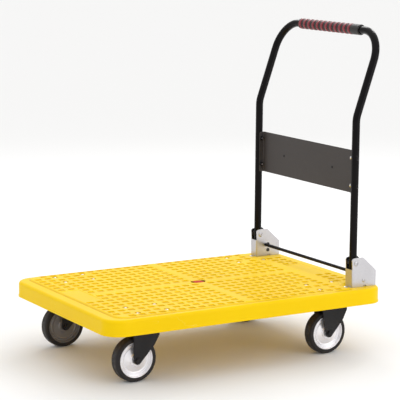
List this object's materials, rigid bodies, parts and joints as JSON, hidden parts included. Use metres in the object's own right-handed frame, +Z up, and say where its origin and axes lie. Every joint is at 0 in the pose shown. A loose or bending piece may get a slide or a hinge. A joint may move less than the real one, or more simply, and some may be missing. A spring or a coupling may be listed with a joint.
{
  "type": "folding platform cart",
  "caption": "Flat yellow platform cart with swivel and fixed casters and a bent tube handle that folds down over the deck.",
  "frame": {"origin": "on the floor, at the middle of the whole cart's length and width", "axes": "+X along the deck towards the handle end, +Y to the right of someone pushing, +Z up"},
  "size_m": [0.9172, 0.61, 0.942],
  "materials": {
    "deck_yellow": "moulded",
    "badge_red": "smooth",
    "zinc": "zinc plated",
    "black_steel": "gloss powder coat",
    "panel_grey": "satin powder coat",
    "fork_black": "satin paint",
    "rim_zinc": "bright zinc",
    "tyre_black": "solid rubber",
    "grip_black": "moulded",
    "grip_red": "moulded",
    "nylon": "nylon",
    "bearing": "ground steel"
  },
  "bodies": {
    "cart_deck": {"deck": "deck_yellow", "badge": "badge_red", "bracket_bolts": "zinc", "bracket_nuts": "zinc", "pivot_pins": "zinc", "pivot_washers": "nylon", "latch_pins": "zinc", "caster_bolts": "zinc", "caster_nuts": "zinc", "swivel_balls": "bearing", "kingpins": "zinc", "kingpin_nuts": "zinc", "rear_axle_bolts": "fork_black", "rear_axle_nuts": "zinc", "rear_axle_sleeves": "bearing", "bracket_left": "zinc", "swivel_plate_left": "fork_black", "rigid_fork_left": "fork_black", "bracket_right": "zinc", "swivel_plate_right": "fork_black", "rigid_fork_right": "fork_black"},
    "handle": {"handle_tube": "black_steel", "tube_plugs": "nylon", "back_panel": "panel_grey", "panel_bolts": "zinc", "panel_nuts": "zinc", "panel_rivets": "zinc", "grip_sleeve": "grip_black", "grip_rings": "grip_red"},
    "foot_latch": {"latch_rod": "black_steel", "latch_springs": "bearing", "latch_arm_left": "black_steel", "latch_arm_right": "black_steel"},
    "swivel_left": {"swivel_fork_left": "fork_black", "front_axle_bolt_left": "fork_black", "front_axle_nut_left": "zinc", "front_axle_sleeve_left": "bearing"},
    "front_wheel_left": {"front_rim_left": "rim_zinc", "front_tyre_left": "tyre_black", "front_bush_left": "nylon"},
    "rear_wheel_left": {"rear_rim_left": "rim_zinc", "rear_tyre_left": "tyre_black", "rear_bush_left": "nylon"},
    "swivel_right": {"swivel_fork_right": "fork_black", "front_axle_bolt_right": "fork_black", "front_axle_nut_right": "zinc", "front_axle_sleeve_right": "bearing"},
    "front_wheel_right": {"front_rim_right": "rim_zinc", "front_tyre_right": "tyre_black", "front_bush_right": "nylon"},
    "rear_wheel_right": {"rear_rim_right": "rim_zinc", "rear_tyre_right": "tyre_black", "rear_bush_right": "nylon"}
  },
  "joints": [
    {"name": "handle_fold", "type": "hinge", "parent": "cart_deck", "child": "handle", "pos_m": [0.35868, 0, 0.2656], "axis": [0, -1, 0], "range_deg": [0, 96.5]},
    {"name": "latch_release", "type": "hinge", "parent": "cart_deck", "child": "foot_latch", "pos_m": [0.38668, 0, 0.2145], "axis": [0, 1, 0], "range_deg": [0, 22], "stiffness_Nm_per_rad": 2, "springref_deg": -28.65},
    {"name": "swivel_left", "type": "hinge", "parent": "cart_deck", "child": "swivel_left", "pos_m": [-0.30162, -0.218, 0.15], "axis": [0, 0, 1], "continuous": true},
    {"name": "front_roll_left", "type": "hinge", "parent": "swivel_left", "child": "front_wheel_left", "pos_m": [-0.33962, -0.218, 0.0625], "axis": [0, 1, 0], "continuous": true},
    {"name": "rear_roll_left", "type": "hinge", "parent": "cart_deck", "child": "rear_wheel_left", "pos_m": [0.29038, -0.218, 0.0625], "axis": [0, 1, 0], "continuous": true},
    {"name": "swivel_right", "type": "hinge", "parent": "cart_deck", "child": "swivel_right", "pos_m": [-0.30162, 0.218, 0.15], "axis": [0, 0, 1], "continuous": true},
    {"name": "front_roll_right", "type": "hinge", "parent": "swivel_right", "child": "front_wheel_right", "pos_m": [-0.33962, 0.218, 0.0625], "axis": [0, 1, 0], "continuous": true},
    {"name": "rear_roll_right", "type": "hinge", "parent": "cart_deck", "child": "rear_wheel_right", "pos_m": [0.29038, 0.218, 0.0625], "axis": [0, 1, 0], "continuous": true}
  ]
}
